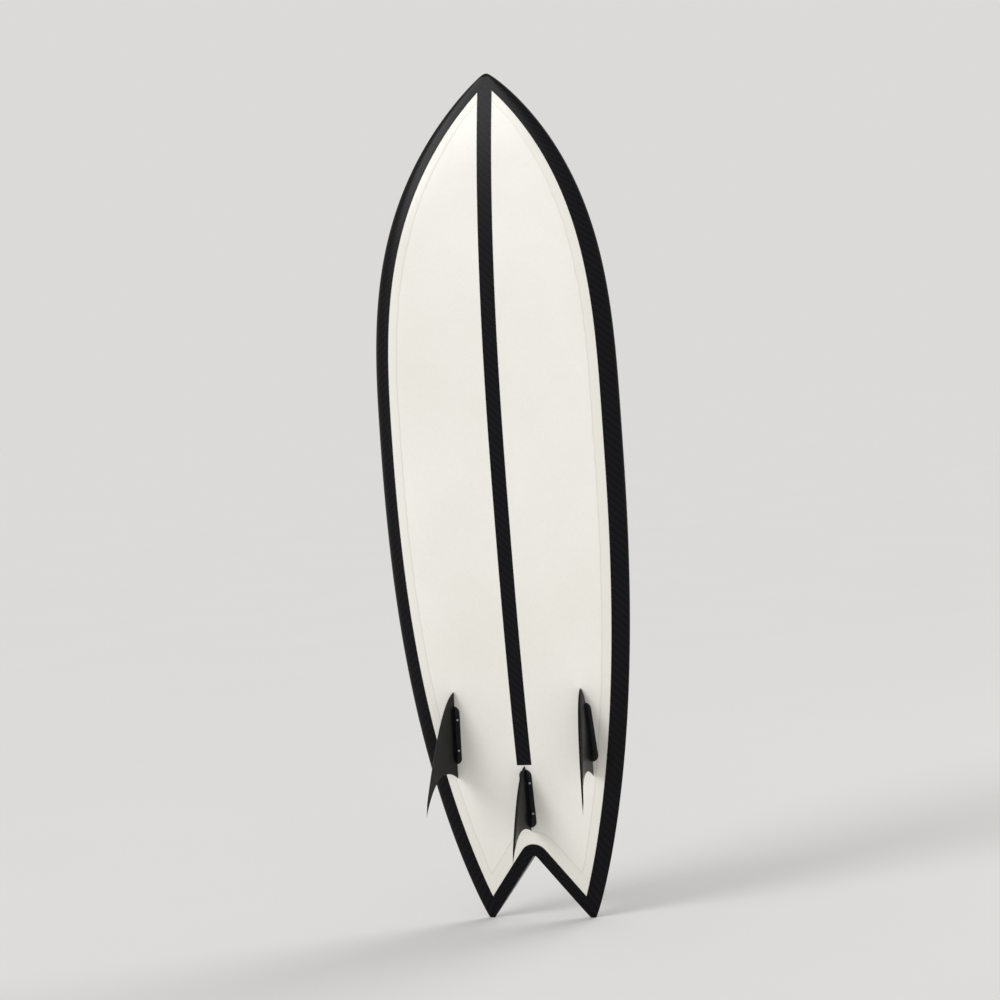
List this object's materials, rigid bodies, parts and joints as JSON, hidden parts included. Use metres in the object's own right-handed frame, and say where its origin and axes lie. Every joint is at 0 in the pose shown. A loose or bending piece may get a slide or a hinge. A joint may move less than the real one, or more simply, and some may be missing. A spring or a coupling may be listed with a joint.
{
  "type": "shortboard surfboard",
  "caption": "Swallow-tail shortboard with a stringered foam blank, glass skin, carbon tape, removable fins in boxes, leash cup and traction pad.",
  "frame": {"origin": "on the floor, midway between the two tail tips and in the middle of the whole object's depth", "axes": "+Z from the tail to the nose, +Y the way the deck faces, -Y the way the bottom and the fins face, +X to the right seen from the bottom's side"},
  "size_m": [0.5336, 0.2568, 1.7788],
  "materials": {
    "white_glass": "clear gloss polyester over white foam, sanded and polished",
    "foam": "raw polyurethane foam, matte",
    "wood": "raw basswood",
    "carbon": "black carbon cloth under gloss resin",
    "fin_black": "black moulded composite, satin gloss",
    "box_black": "black moulded nylon, matte",
    "steel": "stainless steel",
    "eva": "black closed-cell EVA foam, matte"
  },
  "bodies": {
    "board": {"foam_blank_left": "foam", "foam_blank_right": "foam", "stringer": "wood", "bottom_glass": "white_glass", "deck_glass": "white_glass", "rail_tape_left": "carbon", "rail_tape_right": "carbon", "notch_tape": "carbon", "stringer_tape_bottom": "carbon", "stringer_tape_deck": "carbon", "fin_box_left": "box_black", "fin_box_right": "box_black", "fin_box_center": "box_black", "leash_cup": "box_black", "leash_pin": "steel", "tail_pad_left": "eva", "tail_pad_center": "eva", "tail_pad_right": "eva"},
    "fin_left": {"fin_left": "fin_black"},
    "fin_right": {"fin_right": "fin_black"},
    "fin_center": {"fin_center": "fin_black"},
    "grub_screw_left_rear": {"grub_screw_left_rear": "steel"},
    "grub_screw_left_front": {"grub_screw_left_front": "steel"},
    "grub_screw_right_rear": {"grub_screw_right_rear": "steel"},
    "grub_screw_right_front": {"grub_screw_right_front": "steel"},
    "grub_screw_center_rear": {"grub_screw_center_rear": "steel"},
    "grub_screw_center_front": {"grub_screw_center_front": "steel"}
  },
  "joints": [
    {"name": "fin_left_slide", "type": "slide", "parent": "board", "child": "fin_left", "axis": [-0.0065, -0.9978, -0.0664], "range_m": [0, 0.02]},
    {"name": "fin_right_slide", "type": "slide", "parent": "board", "child": "fin_right", "axis": [0.0065, -0.9978, -0.0664], "range_m": [0, 0.02]},
    {"name": "fin_center_slide", "type": "slide", "parent": "board", "child": "fin_center", "axis": [0, -0.9963, -0.0864], "range_m": [0, 0.02]},
    {"name": "grub_screw_left_rear_turn", "type": "hinge", "parent": "board", "child": "grub_screw_left_rear", "pos_m": [-0.14156, 0.01806, 0.36566], "axis": [0.4936, -0.8655, -0.0856], "range_deg": [0, 720]},
    {"name": "grub_screw_left_front_turn", "type": "hinge", "parent": "board", "child": "grub_screw_left_front", "pos_m": [-0.13787, 0.01365, 0.43141], "axis": [0.4936, -0.8655, -0.0856], "range_deg": [0, 720]},
    {"name": "grub_screw_right_rear_turn", "type": "hinge", "parent": "board", "child": "grub_screw_right_rear", "pos_m": [0.14156, 0.01806, 0.36566], "axis": [-0.4936, -0.8655, -0.0856], "range_deg": [0, 720]},
    {"name": "grub_screw_right_front_turn", "type": "hinge", "parent": "board", "child": "grub_screw_right_front", "pos_m": [0.13787, 0.01365, 0.43141], "axis": [-0.4936, -0.8655, -0.0856], "range_deg": [0, 720]},
    {"name": "grub_screw_center_rear_turn", "type": "hinge", "parent": "board", "child": "grub_screw_center_rear", "pos_m": [0.0083, 0.0301, 0.22712], "axis": [0.5, -0.8628, -0.0748], "range_deg": [0, 720]},
    {"name": "grub_screw_center_front_turn", "type": "hinge", "parent": "board", "child": "grub_screw_center_front", "pos_m": [0.0083, 0.02439, 0.29288], "axis": [0.5, -0.8628, -0.0748], "range_deg": [0, 720]}
  ]
}
